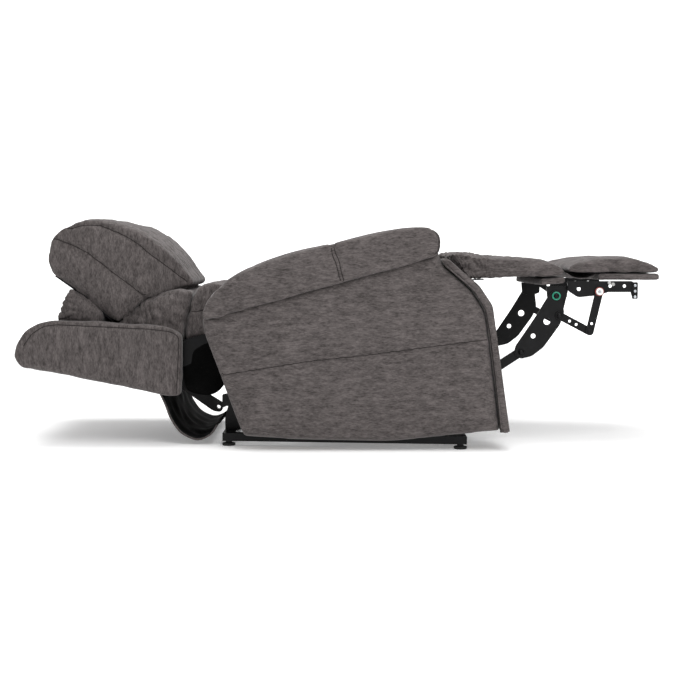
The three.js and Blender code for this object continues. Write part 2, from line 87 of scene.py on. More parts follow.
# ---- where things are ---------------------------------------------------------------------------
def drawing_plane(joint, lean, pin=(0, 0)):
    """A drawing plane of the chair, held by a joint that stands at pin in it."""
    at = next(j["pos_m"] for j in frame["joints"] if j["name"] == joint)
    c, s = math.cos(math.radians(lean)), math.sin(math.radians(lean))

    def place(x, z, y=0.0):
        dx, dz = (x - pin[0]) * MM, (z - pin[1]) * MM
        return Vector((at[0] + c * dx - s * dz, y * MM, at[2] + s * dx + c * dz))

    return place


CHAIR = drawing_plane("footrest_lift", 8, (-112, 256))
BACK = drawing_plane("recline", 79)
OTTOMAN = drawing_plane("ottoman_turn", 0)
ROOM = drawing_plane("ottoman_turn", 0, (614, 420))


# ---- colours and materials ----------------------------------------------------------------------
def linear(code):
    """An sRGB hex colour as linear red, green, blue and alpha."""
    values = [int(code[i:i + 2], 16) / 255 for i in (1, 3, 5)]
    return (*[v / 12.92 if v <= 0.04045 else ((v + 0.055) / 1.055) ** 2.4 for v in values], 1.0)


def add(tree, kind, inputs=(), **settings):
    """Adds a node: settings are its own, inputs are (socket, value or output to link)."""
    made = tree.nodes.new(kind)
    for name, value in settings.items():
        setattr(made, name, value)
    for socket, value in inputs:
        if isinstance(value, bpy.types.NodeSocket):
            tree.links.new(value, made.inputs[socket])
        else:
            made.inputs[socket].default_value = value
    return made


def blank_material(name):
    material = bpy.data.materials.get(name)
    if material:
        return material, None
    material = bpy.data.materials.new(name)
    material.use_nodes = True
    material.node_tree.nodes.clear()
    return material, material.node_tree


def ramp(tree, factor, stops):
    """A colour ramp through (position, colour) stops."""
    made = add(tree, "ShaderNodeValToRGB", [("Fac", factor)])
    elements = made.color_ramp.elements
    while len(elements) < len(stops):
        elements.new(0.5)
    for element, (position, colour) in zip(elements, stops):
        element.position, element.color = position, colour
    return made.outputs["Color"]


def surface(tree, colour, roughness, normal=None, **constants):
    """The shader and the output; constants are set on the shader's own sockets."""
    inputs = [("Base Color", colour), ("Roughness", roughness)]
    if normal:
        inputs.append(("Normal", normal))
    inputs += [(name.replace("_", " "), value) for name, value in constants.items()]
    shader = add(tree, "ShaderNodeBsdfPrincipled", inputs)
    add(tree, "ShaderNodeOutputMaterial", [("Surface", shader.outputs["BSDF"])])


def chenille(name, dark, light, turn=(0, 0, 0), stretch=(0.3, 1, 1), crumple=0.0):
    """Brushed polyester chenille: a heathered pile with short streaks along the warp.

    To the eye it is a soft, matt grey made of two yarns, paler where the pile catches light.
    Real yarns are 0.8 mm apart; they are drawn 3 mm apart, because finer ones don't show.
    """
    material, tree = blank_material(name)
    if tree is None:
        return material
    looks = bpy.context.scene.recliner_looks
    dark, light = tuple(dark), tuple(light)
    here = add(tree, "ShaderNodeTexCoord").outputs["Object"]
    grain = add(tree, "ShaderNodeMapping", [("Vector", here), ("Rotation", turn),
                                            ("Scale", stretch)]).outputs["Vector"]
    yarn = add(tree, "ShaderNodeTexNoise", [("Vector", grain), ("Scale", 1 / looks.yarn_pitch),
                                            ("Detail", 3.0), ("Roughness", 0.65)])
    slub = add(tree, "ShaderNodeTexNoise", [("Vector", grain), ("Scale", 1 / 0.009),
                                            ("Detail", 2.0)])
    pile = add(tree, "ShaderNodeTexNoise", [("Vector", here), ("Scale", 1 / 0.09),
                                            ("Detail", 3.0)])
    mixed = add(tree, "ShaderNodeMath", [(0, yarn.outputs["Fac"]), (1, 0.55)],
                operation="MULTIPLY")
    mixed = add(tree, "ShaderNodeMath", [(0, slub.outputs["Fac"]), (1, 0.35),
                                         (2, mixed.outputs["Value"])], operation="MULTIPLY_ADD")
    mixed = add(tree, "ShaderNodeMath", [(0, pile.outputs["Fac"]), (1, 0.1),
                                         (2, mixed.outputs["Value"])], operation="MULTIPLY_ADD")
    colour = ramp(tree, mixed.outputs["Value"], [(0.37, dark), (0.63, light)])
    rough = add(tree, "ShaderNodeMapRange", [("Value", yarn.outputs["Fac"]), ("To Min", 0.86),
                                             ("To Max", 1.0)])
    bump = add(tree, "ShaderNodeBump", [("Height", yarn.outputs["Fac"]), ("Strength", 0.35),
                                        ("Distance", 0.0016)])
    normal = bump.outputs["Normal"]
    if crumple:
        soft = add(tree, "ShaderNodeTexNoise", [("Vector", grain), ("Scale", 1 / 0.028),
                                                ("Detail", 4.0), ("Distortion", 0.6)])
        normal = add(tree, "ShaderNodeBump", [("Height", soft.outputs["Fac"]), ("Normal", normal),
                                              ("Strength", crumple),
                                              ("Distance", 0.008)]).outputs["Normal"]
    surface(tree, colour, rough.outputs["Result"], normal, Sheen_Weight=0.12,
            Sheen_Roughness=0.45, Specular_IOR_Level=0.2)
    return material


def side_fabric():
    looks = bpy.context.scene.recliner_looks
    return chenille("Brushed chenille, warp level", looks.fabric_dark, looks.fabric_light,
                    turn=(0, math.radians(8), 0))


def back_fabric():
    looks = bpy.context.scene.recliner_looks
    return chenille("Brushed chenille, warp upright", looks.fabric_dark, looks.fabric_light,
                    stretch=(1, 1, 0.3))


def loose_fabric():
    looks = bpy.context.scene.recliner_looks
    return chenille("Crumpled brushed chenille", looks.fabric_dark, looks.fabric_light,
                    stretch=(1, 1, 0.35), crumple=0.55)


def thread_and_shade_line():
    """Dark polyester thread, twisted: a thin dark line, broken up by its stitches 4 mm long; the same cord also
    draws painted shade in the groove beside the arm piping.
    """
    material, tree = blank_material("Twisted polyester thread")
    if tree is None:
        return material
    here = add(tree, "ShaderNodeTexCoord").outputs["Object"]
    stitch = add(tree, "ShaderNodeTexNoise", [("Vector", here), ("Scale", 1 / 0.004)])
    colour = ramp(tree, stitch.outputs["Fac"], [(0.35, linear("#171514")),
                                                (0.7, linear("#2c2827"))])
    surface(tree, colour, 0.8, Specular_IOR_Level=0.2)
    return material


def shaded_piping_fabric():
    """The cover's own chenille sewn round a cord: a narrow roll, its yarns darkened as painted shade of the groove
    it lies in.
    """
    looks = bpy.context.scene.recliner_looks
    # both yarns dimmed below the cover's: painted shade of the piping's groove
    return chenille("Chenille piping, painted shade", [v * 0.75 for v in looks.fabric_dark],
                    [v * 0.95 for v in looks.fabric_light], stretch=(1, 1, 1))


def dust_lining():
    """Spun-bonded polypropylene lining: flat black, with a faint grid of weld dots 2 mm apart."""
    material, tree = blank_material("Spun-bonded polypropylene lining")
    if tree is None:
        return material
    looks = bpy.context.scene.recliner_looks
    here = add(tree, "ShaderNodeTexCoord").outputs["Object"]
    dots = add(tree, "ShaderNodeTexVoronoi", [("Vector", here), ("Scale", 1 / 0.004)])
    creases = add(tree, "ShaderNodeTexNoise", [("Vector", here), ("Scale", 1 / 0.05),
                                               ("Detail", 4.0)])
    colour = ramp(tree, creases.outputs["Fac"], [(0.3, tuple(looks.lining)),
                                                 (0.75, linear("#0a0a0a"))])
    bump = add(tree, "ShaderNodeBump", [("Height", dots.outputs["Distance"]), ("Strength", 0.25),
                                        ("Distance", 0.0006)])
    bump = add(tree, "ShaderNodeBump", [("Height", creases.outputs["Fac"]), ("Strength", 0.4),
                                        ("Distance", 0.006), ("Normal", bump.outputs["Normal"])])
    surface(tree, colour, 0.85, bump.outputs["Normal"], Specular_IOR_Level=0.05)
    return material


def powder_coated_steel():
    """Black powder-coated pressed steel: satin, faintly pebbled, rubbed greyer in places."""
    material, tree = blank_material("Black powder-coated steel")
    if tree is None:
        return material
    looks = bpy.context.scene.recliner_looks
    here = add(tree, "ShaderNodeTexCoord").outputs["Object"]
    peel = add(tree, "ShaderNodeTexNoise", [("Vector", here), ("Scale", 1 / 0.0016)])
    rubs = add(tree, "ShaderNodeTexNoise", [("Vector", here), ("Scale", 1 / 0.03),
                                            ("Detail", 5.0), ("Roughness", 0.7)])
    colour = ramp(tree, rubs.outputs["Fac"], [(0.45, tuple(looks.steel)),
                                              (0.8, linear("#141416"))])
    rough = add(tree, "ShaderNodeMapRange", [("Value", rubs.outputs["Fac"]), ("From Min", 0.35),
                                             ("From Max", 0.7), ("To Min", 0.32),
                                             ("To Max", 0.52)])
    bump = add(tree, "ShaderNodeBump", [("Height", peel.outputs["Fac"]), ("Strength", 0.12),
                                        ("Distance", 0.0005)])
    surface(tree, colour, rough.outputs["Result"], bump.outputs["Normal"],
            Specular_IOR_Level=0.18)
    return material


def zinc_plated_steel():
    """Zinc-plated turned steel: pale silver with fine rings and a blue-grey bloom."""
    material, tree = blank_material("Zinc-plated turned steel")
    if tree is None:
        return material
    here = add(tree, "ShaderNodeTexCoord").outputs["Object"]
    rings = add(tree, "ShaderNodeTexNoise", [("Vector", here), ("Scale", 1 / 0.0012)])
    bloom = add(tree, "ShaderNodeTexNoise", [("Vector", here), ("Scale", 1 / 0.02)])
    colour = ramp(tree, bloom.outputs["Fac"], [(0.3, linear("#9a9da2")),
                                               (0.7, linear("#c9ccd0"))])
    rough = add(tree, "ShaderNodeMapRange", [("Value", rings.outputs["Fac"]), ("To Min", 0.25),
                                             ("To Max", 0.45)])
    surface(tree, colour, rough.outputs["Result"], Metallic=1.0)
    return material


def moulded(name, code, fleck, roughness=0.5):
    """An injection-moulded plastic: even colour with a spark-eroded grain 1 mm across."""
    material, tree = blank_material(name)
    if tree is None:
        return material
    here = add(tree, "ShaderNodeTexCoord").outputs["Object"]
    grain = add(tree, "ShaderNodeTexNoise", [("Vector", here), ("Scale", 1 / 0.001)])
    cloud = add(tree, "ShaderNodeTexNoise", [("Vector", here), ("Scale", 1 / 0.025)])
    colour = ramp(tree, cloud.outputs["Fac"], [(0.3, linear(code)), (0.75, linear(fleck))])
    bump = add(tree, "ShaderNodeBump", [("Height", grain.outputs["Fac"]), ("Strength", 0.15),
                                        ("Distance", 0.0003)])
    rough = add(tree, "ShaderNodeMapRange", [("Value", cloud.outputs["Fac"]),
                                             ("To Min", roughness - 0.06),
                                             ("To Max", roughness + 0.08)])
    surface(tree, colour, rough.outputs["Result"], bump.outputs["Normal"])
    return material


def plywood():
    """Poplar plywood: pale tan with long darker grain lines 3 mm apart."""
    material, tree = blank_material("Poplar plywood")
    if tree is None:
        return material
    here = add(tree, "ShaderNodeTexCoord").outputs["Object"]
    board = add(tree, "ShaderNodeMapping", [("Vector", here), ("Scale", (0.06, 1, 1))])
    grain = add(tree, "ShaderNodeTexNoise", [("Vector", board.outputs["Vector"]),
                                             ("Scale", 1 / 0.006), ("Detail", 5.0)])
    colour = ramp(tree, grain.outputs["Fac"], [(0.35, linear("#8b6f4b")),
                                               (0.65, linear("#b89a70"))])
    bump = add(tree, "ShaderNodeBump", [("Height", grain.outputs["Fac"]), ("Strength", 0.3),
                                        ("Distance", 0.0005)])
    surface(tree, colour, 0.75, bump.outputs["Normal"])
    return material


def matt_paint():
    """Matt white studio paint, rolled: near white, with no pattern that can be seen.

    A little emission stands for the studio's bounced light, so that the floor stays white.
    """
    material, tree = blank_material("Matt white studio paint")
    if tree is None:
        return material
    here = add(tree, "ShaderNodeTexCoord").outputs["Object"]
    roller = add(tree, "ShaderNodeTexNoise", [("Vector", here), ("Scale", 1 / 0.3)])
    colour = ramp(tree, roller.outputs["Fac"], [(0.3, linear("#f0f0f0")),
                                                (0.7, linear("#f2f2f2"))])
    surface(tree, colour, 0.9, Specular_IOR_Level=0.1, Emission_Color=linear("#ffffff"),
            Emission_Strength=0.22)
    return material


# ---- making meshes ------------------------------------------------------------------------------
def linked(name, data):
    """A new object in the scene, with data as its mesh or curve."""
    made = bpy.data.objects.new(name, data)
    bpy.context.scene.collection.objects.link(made)
    return made


def placed(name, bm):
    """The bmesh as a new piece."""
    mesh = bpy.data.meshes.new(name)
    bm.to_mesh(mesh)
    bm.free()
    return linked(name, mesh)


def block(name, place, corners, near, far, rims=()):
    """An outline drawn in a plane, swept across the chair from near to far.

    A corner's third number rounds it; rims are (mm, test of a point) for the two side rims.
    """
    bm = bmesh.new()
    points = [bm.verts.new(place(c[0], c[1], near)) for c in corners]
    bm.faces.new(points)
    room = [0.45 * min(e.calc_length() for e in point.link_edges) for point in points]
    for point, corner, most in zip(points, corners, room):
        if len(corner) > 2:
            bmesh.ops.bevel(bm, geom=[point], offset=min(corner[2] * MM, most),
                            offset_type="OFFSET", segments=4, profile=0.5, affect="VERTICES",
                            clamp_overlap=False, material=-1)
    swept = bmesh.ops.extrude_face_region(bm, geom=bm.faces[:])["geom"]
    bmesh.ops.translate(bm, verts=[v for v in swept if isinstance(v, bmesh.types.BMVert)],
                        vec=(0, (far - near) * MM, 0))
    bmesh.ops.recalc_face_normals(bm, faces=bm.faces)
    for offset, test in rims:
        chosen = [e for e in bm.edges
                  if abs(e.verts[0].co.y - e.verts[1].co.y) < 1e-6
                  and min(abs(e.verts[0].co.y - near * MM), abs(e.verts[0].co.y - far * MM)) < 1e-6
                  and test((e.verts[0].co + e.verts[1].co) / 2)]
        bmesh.ops.bevel(bm, geom=chosen, offset=offset * MM, offset_type="OFFSET", segments=5,
                        profile=0.5, affect="EDGES", clamp_overlap=True, material=-1)
    return placed(name, bm)


def anywhere(point):
    return True


def settle(piece):
    """Makes what the modifiers give the piece's own mesh."""
    bpy.context.view_layer.update()
    seen = piece.evaluated_get(bpy.context.evaluated_depsgraph_get())
    mesh = bpy.data.meshes.new_from_object(seen)
    old = piece.data
    piece.modifiers.clear()
    piece.data = mesh
    bpy.data.meshes.remove(old)


def remesh(piece, size):
    """Even squares of size mm all over the piece."""
    rule = piece.modifiers.new("Remesh", "REMESH")
    rule.mode, rule.voxel_size = "VOXEL", size * MM
    ease = piece.modifiers.new("Smooth", "SMOOTH")
    ease.factor, ease.iterations = 0.5, 3
    settle(piece)


def subdivide(piece):
    rule = piece.modifiers.new("Subdivision", "SUBSURF")
    rule.levels = rule.render_levels = 1
    settle(piece)


def points_of(piece):
    flat = np.empty(len(piece.data.vertices) * 3)
    piece.data.vertices.foreach_get("co", flat)
    return flat.reshape(-1, 3)


def normals_of(piece):
    flat = np.empty(len(piece.data.vertices) * 3)
    piece.data.vertices.foreach_get("normal", flat)
    return flat.reshape(-1, 3)


def put(piece, points):
    piece.data.vertices.foreach_set("co", points.reshape(-1))
    piece.data.update()


def push(piece, amount):
    """Moves each point along its normal by amount(points), in metres."""
    points = points_of(piece)
    put(piece, points + normals_of(piece) * amount(points)[:, None])


def puff(piece, pressure, limit, held, spare=0.0, frames=20):
    """Blows the cover up as cloth round its stuffing; held(points) is what the sewing holds."""
    scene = bpy.context.scene
    start = points_of(piece)
    group = piece.vertex_groups.new(name="held")
    group.add([int(i) for i in np.flatnonzero(held(start))], 1.0, "REPLACE")
    cloth = piece.modifiers.new("Cloth", "CLOTH")
    rules = cloth.settings
    rules.quality = 4
    rules.mass = 0.3
    rules.tension_stiffness = rules.compression_stiffness = 15
    rules.bending_stiffness = 0.4
    rules.use_pressure = True
    rules.uniform_pressure_force = pressure
    rules.shrink_min = -spare
    rules.effector_weights.gravity = 0
    rules.vertex_group_mass = group.name
    cloth.collision_settings.use_collision = False
    cloth.point_cache.frame_start, cloth.point_cache.frame_end = 1, frames
    for number in range(1, frames + 1):
        scene.frame_set(number)
    settle(piece)
    piece.vertex_groups.clear()
    scene.frame_set(1)
    moved = points_of(piece) - start
    reach = np.linalg.norm(moved, axis=1, keepdims=True)
    put(piece, start + moved * np.minimum(1, limit * MM / np.maximum(reach, 1e-9)))


def walk(corners, step=0.003):
    """The points of a line through corners, step apart."""
    line = [corners[0]]
    for start, end in zip(corners, corners[1:]):
        count = max(1, round((end - start).length / step))
        line += [start.lerp(end, (i + 1) / count) for i in range(count)]
    return line


def eased(line, rounds):
    """The line with its bends smoothed, its ends kept."""
    for _ in range(rounds):
        inner = [(a + 2 * b + c) / 4 for a, b, c in zip(line, line[1:], line[2:])]
        line = [line[0], *inner, line[-1]]
    return line


def smooth_line(corners, step=0.003, rounds=12):
    """A line through corners with its bends eased."""
    return eased(walk(corners, step), rounds)


def tree_of(lines):
    """The points of the lines, ready to be searched."""
    tree = KDTree(sum(len(line) for line in lines))
    for index, point in enumerate(p for line in lines for p in line):
        tree.insert(point, index)
    tree.balance()
    return tree


def near_lines(lines, width):
    """A test of which points lie within width mm of the lines."""
    tree = tree_of(lines)
    return lambda points: np.array([tree.find(p)[2] for p in points]) < width * MM


def onto(piece, lines, lift=0.0):
    """The lines laid on the piece's surface, lifted off it by lift mm."""
    tree = BVHTree.FromObject(piece, bpy.context.evaluated_depsgraph_get())
    laid = []
    for line in lines:
        found = [tree.find_nearest(p)[:2] for p in line]
        laid.append(eased([at + normal * lift * MM for at, normal in found], 4))
    return laid


def draw_in(piece, lines, depth=3.0, width=5.0):
    """Sinks the cover along sewn lines that lie on it."""
    tree = tree_of(lines)

    def amount(points):
        far = np.array([tree.find(p)[2] for p in points]) / (width * MM)
        return -depth * MM * np.exp(-far ** 2)

    push(piece, amount)


def tube(name, lines, radius, material):
    """A thin round cord along each line, as one mesh."""
    curve = bpy.data.curves.new(name + "_path", "CURVE")
    curve.dimensions, curve.bevel_depth, curve.bevel_resolution = "3D", radius * MM, 1
    curve.use_fill_caps = True
    for line in lines:
        spline = curve.splines.new("POLY")
        spline.points.add(len(line) - 1)
        spline.points.foreach_set("co", [v for p in line for v in (*p, 1.0)])
    path = linked(name + "_path", curve)
    bpy.context.view_layer.update()
    seen = path.evaluated_get(bpy.context.evaluated_depsgraph_get())
    mesh = bpy.data.meshes.new_from_object(seen)
    mesh.name = name
    bpy.data.objects.remove(path)
    return dress(linked(name, mesh), material)


def dress(piece, material):
    piece.data.materials.clear()
    piece.data.materials.append(material)
    piece.data.shade_smooth()
    return piece


def twin(piece, name):
    """The same piece on the other side of the chair."""
    other = linked(name, piece.data.copy())
    bm = bmesh.new()
    bm.from_mesh(other.data)
    bmesh.ops.scale(bm, verts=bm.verts, vec=(1, -1, 1))
    bmesh.ops.reverse_faces(bm, faces=bm.faces)
    bm.to_mesh(other.data)
    bm.free()
    return other


def wander(points, size, seed):
    """Smooth ups and downs between about -1 and 1, size metres apart."""
    random = np.random.default_rng(seed)
    total = np.zeros(len(points))
    for _ in range(6):
        way = random.normal(size=3)
        way *= 2 * math.pi * random.uniform(0.7, 1.5) / size / np.linalg.norm(way)
        total += np.sin(points @ way + random.uniform(0, 2 * math.pi))
    return total / 2.4


def gathers(phase):
    """Rounded ridges with narrow valleys between them, from 0 down to -1."""
    return np.abs(np.sin(math.pi * phase)) ** 0.7 - 1


def fade(value, start, end):
    """0 before start, 1 after end, smooth between them."""
    share = np.clip((value - start) / (end - start), 0, 1)
    return share * share * (3 - 2 * share)


def pad(name, place, corners, near, far, rims, voxel, lines, material, pressure=4.0, limit=14.0,
        hold=None, spare=0.0, folds=None, thread=True, depth=3.0):
    """A stuffed, sewn piece: blown up as cloth, then drawn in along its seams.

    Returns the pad and, if it has any, its sewing.
    """
    piece = block(name, place, corners, near, far, rims)
    remesh(piece, voxel)
    laid = onto(piece, lines) if lines else []
    sewn = near_lines(laid, voxel * 0.8) if laid else None

    def held(points):
        kept = hold(points) if hold else np.zeros(len(points), bool)
        return kept | sewn(points) if sewn else kept

    if pressure:
        puff(piece, pressure, limit, held, spare)
    subdivide(piece)
    if folds:
        push(piece, folds)
    pieces = [dress(piece, material)]
    if lines:
        draw_in(piece, onto(piece, lines), depth)
        if thread:
            pieces.append(tube(name + "_stitching", onto(piece, lines, 0.1), 1.0,
                               thread_and_shade_line()))
    return pieces


def hung_sheet(name, line, width, cuts, crease, material):
    """A thin cloth that hangs along line, width metres wide, creased by crease(points)."""
    bm = bmesh.new()
    rail = [bm.verts.new(p - Vector((0, width / 2, 0))) for p in line]
    edges = [bm.edges.new(pair) for pair in zip(rail, rail[1:])]
    cloth = bmesh.ops.extrude_edge_only(bm, edges=edges)["geom"]
    bmesh.ops.translate(bm, verts=[v for v in cloth if isinstance(v, bmesh.types.BMVert)],
                        vec=(0, width, 0))
    long = [e for e in bm.edges if abs(e.verts[0].co.y - e.verts[1].co.y) > width / 2]
    bmesh.ops.subdivide_edges(bm, edges=long, cuts=cuts, use_grid_fill=True)
    sheet = placed(name, bm)
    push(sheet, crease)
    wall = sheet.modifiers.new("Solidify", "SOLIDIFY")
    wall.thickness, wall.offset = 0.002, 0
    settle(sheet)
    subdivide(sheet)
    return dress(sheet, material)


def upholster(pieces, body, nodes, to=None, start=None, end=None):
    """Puts a pad and its sewing on a body, or, when to is given, fixes it in world space, in place of CAD nodes.
    """
    for piece in pieces:
        if to:
            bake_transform(piece)
        else:
            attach(piece, body)
    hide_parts(*nodes)


def both_sides(pieces, body, nodes):
    """A right-hand pad and its mirror image; a name or node ends in right."""
    others = [twin(p, p.name.replace("right", "left")) for p in pieces]
    upholster(pieces, body, nodes)
    upholster(others, body, [n.replace("right", "left") for n in nodes])


# ---- what a user may change ---------------------------------------------------------------------
def colour_choice(name, description, code):
    return bpy.props.FloatVectorProperty(name=name, description=description, subtype="COLOR",
                                         size=4, min=0, max=1, default=linear(code))


class ReclinerLooks(bpy.types.PropertyGroup):
    """Colours and yarn of the covers"""
    fabric_dark: colour_choice("Dark yarn", "Colour of the cover's darker yarn", "#353130")
    fabric_light: colour_choice("Light yarn", "Colour of the cover's lighter yarn", "#605a59")
    lining: colour_choice("Lining", "Colour of the lining under the back", "#030303")
    steel: colour_choice("Steel", "Colour of the powder coat", "#050506")
    yarn_pitch: bpy.props.FloatProperty(
        name="Yarn pitch", description="Distance between the drawn yarns", unit="LENGTH",
        default=0.003, min=0.001, max=0.02)


class ReclinerSizes(bpy.types.PropertyGroup):
    """Sizes of the studio"""
    camera_height: bpy.props.FloatProperty(
        name="Camera height", description="Height of the camera above the floor",
        unit="LENGTH", default=0.535)
    camera_distance: bpy.props.FloatProperty(
        name="Camera distance", description="Distance from the chair's middle to the camera",
        unit="LENGTH", default=4.1)
    camera_pitch: bpy.props.FloatProperty(
        name="Camera pitch", description="How far the camera looks down", unit="ROTATION",
        default=math.radians(3.49))
    lens: bpy.props.FloatProperty(
        name="Lens", description="Focal length in mm on a 36 mm sensor", default=72.45)


# ---- the stage ----------------------------------------------------------------------------------
class RECLINER_OT_stage(bpy.types.Operator):
    """Makes the camera, the pale floor and the soft lights"""
    bl_idname = "recliner.stage"
    bl_label = "Studio"

    def execute(self, context):
        sizes, scene = context.scene.recliner_sizes, context.scene
        low = CAD_BOX[0]
        middle = ROOM(0, 0).x
        camera = bpy.data.objects.new("camera", bpy.data.cameras.new("camera"))
        camera.data.lens, camera.data.sensor_width = sizes.lens, 36
        camera.location = (middle, -sizes.camera_distance, sizes.camera_height)
        camera.rotation_euler = (math.pi / 2 - sizes.camera_pitch, 0, 0)
        scene.collection.objects.link(camera)
        scene.camera = camera
        bm = bmesh.new()
        bmesh.ops.create_grid(bm, x_segments=1, y_segments=1, size=14)
        far_edge = [e for e in bm.edges if all(v.co.y > 13 for v in e.verts)]
        wall = bmesh.ops.extrude_edge_only(bm, edges=far_edge)["geom"]
        bmesh.ops.translate(bm, verts=[v for v in wall if isinstance(v, bmesh.types.BMVert)],
                            vec=(0, 0, 12))
        bend = [e for e in bm.edges if all(abs(v.co.z) < 1e-6 and v.co.y > 13 for v in e.verts)]
        bmesh.ops.bevel(bm, geom=bend, offset=4, offset_type="OFFSET", segments=12,
                        profile=0.5, affect="EDGES", clamp_overlap=True, material=-1)
        bmesh.ops.translate(bm, verts=bm.verts, vec=(0, 0, low.z))
        floor = dress(placed("studio_floor", bm), matt_paint())
        for name, at, size, power, aim in (
                ("key_softbox", (0.9, -2.5, 2.7), 2.0, 62, (0.3, 0, 0.3)),
                ("fill_softbox", (1.8, -4.0, 1.0), 2.0, 12, (0.3, 0, 0.3)),
                ("top_softbox", (-0.3, 0.2, 3.2), 2.6, 105, (0, 0, 0.3)),
                ("wall_softbox", (0, 5, 5.5), 6.0, 950, (0, 13, 2.5))):
            light = bpy.data.lights.new(name, "AREA")
            light.shape, light.size, light.energy = "SQUARE", size, power
            lamp = linked(name, light)
            lamp.location = at
            lamp.rotation_euler = (Vector(aim) - Vector(at)).to_track_quat("-Z", "Y").to_euler()
        world = bpy.data.worlds.new("studio_air")
        world.use_nodes = True
        world.node_tree.nodes["Background"].inputs["Color"].default_value = linear("#ffffff")
        world.node_tree.nodes["Background"].inputs["Strength"].default_value = 0.55
        scene.world = world
        scene.view_settings.view_transform = "Standard"
        return {"FINISHED"}


# ---- arms ---------------------------------------------------------------------------------------
class RECLINER_OT_arm_sides(bpy.types.Operator):
    """Makes the padded outer sides and inner sides of the arms"""
    bl_idname = "recliner.arm_sides"
    bl_label = "Arm sides"

    def execute(self, context):
        corners = [(-15, 4, 4), (-15, 338, 20), (-44, 396, 12), (-113, 474, 6), (-116, 512),
                   (-776, 426, 4), (-781, 404, 12), (-713, 86, 8), (-561, 54, 30),
                   (-319, 15, 30)]
        seam = [CHAIR(x, z, -426) for x, z in ((-750, 262), (-510, 266), (-350, 261), (-14, 257))]

        def folds(points):
            outer = fade(-points[:, 1], 0.405, 0.42)
            return outer * (0.0016 * wander(points, 0.32, 3) + 0.0005 * wander(points, 0.07, 4))

        pieces = pad("cover_arm_side_right", CHAIR, corners, -423, -385, [(9, anywhere)], 8,
                     [smooth_line(seam)], side_fabric(), pressure=3, limit=5,
                     hold=lambda points: points[:, 1] > -0.402, folds=folds, depth=2.0)
        both_sides(pieces, "chair", ["arm_side_right"])
        inner = [(-15, 4, 4), (-15, 338, 20), (-44, 396, 12), (-113, 472, 6), (-116, 496),
                 (-772, 410, 4), (-778, 404, 12), (-710, 88, 40), (-559, 57, 60), (-319, 18, 60)]
        pieces = pad("cover_arm_inner_right", CHAIR, inner, -304, -291, [(4, anywhere)], 7, [],
                     side_fabric(), pressure=0,
                     folds=lambda points: 0.0008 * wander(points, 0.2, 7))
        both_sides(pieces, "chair", ["arm_inner_right"])
        return {"FINISHED"}


class RECLINER_OT_arm_fronts(bpy.types.Operator):
    """Makes the padded strips down the arms' fronts, the piping along them and a line of painted shade beside it
    """
    bl_idname = "recliner.arm_fronts"
    bl_label = "Arm fronts"

    def execute(self, context):
        corners = [(8, -3, 3), (8, 345, 25), (-22, 406, 14), (-97, 492, 2), (-118, 488, 2),
                   (-41, 395, 12), (-14, 338, 20), (-14, -3, 3)]
        pieces = pad("cover_arm_front_right", CHAIR, corners, -423, -292, [(6, anywhere)], 6, [],
                     side_fabric(), pressure=4, limit=5,
                     hold=lambda points: (points[:, 1] > -0.30) | (points[:, 1] < -0.419),
                     folds=lambda points: 0.0008 * wander(points, 0.12, 9))
        edge = smooth_line([CHAIR(x, z, -423.5) for x, z in (
            (-14, 1), (-9, 140), (-7, 267), (-10, 338), (-36, 395), (-106, 474))])
        rim = smooth_line([CHAIR(x, z, -417) for x, z in (
            (7, 0), (7, 345), (-22, 405), (-92, 481))])
        # the piping's darker chenille is painted shade of its groove
        welt = tube("cover_arm_front_right_piping", [edge], 2.3, shaded_piping_fabric())
        rim_welt = tube("cover_arm_front_right_edging", [rim], 1.8, shaded_piping_fabric())
        # a dark cord of thread colour laid just inside the piping: painted shade of the groove beside it
        groove = tube("cover_arm_front_right_stitching",
                      [[p + Vector((-0.0032, 0.0004, 0)) for p in edge]], 1.3, thread_and_shade_line())
        both_sides(pieces + [welt, rim_welt, groove], "chair", ["arm_front_right"])
        return {"FINISHED"}


class RECLINER_OT_arm_pads(bpy.types.Operator):
    """Makes the long rounded pads on top of the arms"""
    bl_idname = "recliner.arm_pads"
    bl_label = "Arm pads"

    def execute(self, context):
        def under(u):
            return 500 + (u + 122) * 0.1308

        corners = [(-771, under(-771)), (-774, 440, 14), (-738, 491, 30), (-625, 545, 60),
                   (-487, 566, 80), (-377, 575, 80), (-212, 588, 50), (-134, 582, 34),
                   (-108, 560, 22), (-107, 530, 20), (-122, under(-122), 8)]
        slope = CHAIR(1, 0.1308) - CHAIR(0, 0)

        edge = CHAIR(-122, 512)

        def low(point):
            return point.z < edge.z + (point.x - edge.x) * slope.z / slope.x

        cross = [[CHAIR(u, 567, -300), CHAIR(u, 572, -400), CHAIR(u, 567, -430),
                  CHAIR(u + 2, 545, -441), CHAIR(u + 8, 520, -441), CHAIR(u + 14, 469, -441)]
                 for u in (-404, -396)]
        front = [CHAIR(u, z, y) for u, z, y in (
            (-132, 584, -305), (-132, 584, -400), (-131, 580, -420), (-122, 570, -433),
            (-113, 560, -439), (-111, 530, -441), (-122, 503, -441))]
        lines = [smooth_line(line) for line in (*cross, front)]

        def folds(points):
            tail = fade(-points[:, 0], 0.18, 0.33)
            return 0.0012 * wander(points, 0.16, 11) + 0.0012 * tail * wander(points, 0.05, 12)

        pieces = pad("cover_arm_pad_right", CHAIR, corners, -436, -294,
                     [(38, lambda p: not low(p)), (4, low)], 7, lines, side_fabric(),
                     pressure=5, limit=9, hold=lambda points: np.array(
                         [low(Vector(p)) for p in points]), folds=folds)
        both_sides(pieces, "chair", ["arm_pad_right"])
        return {"FINISHED"}


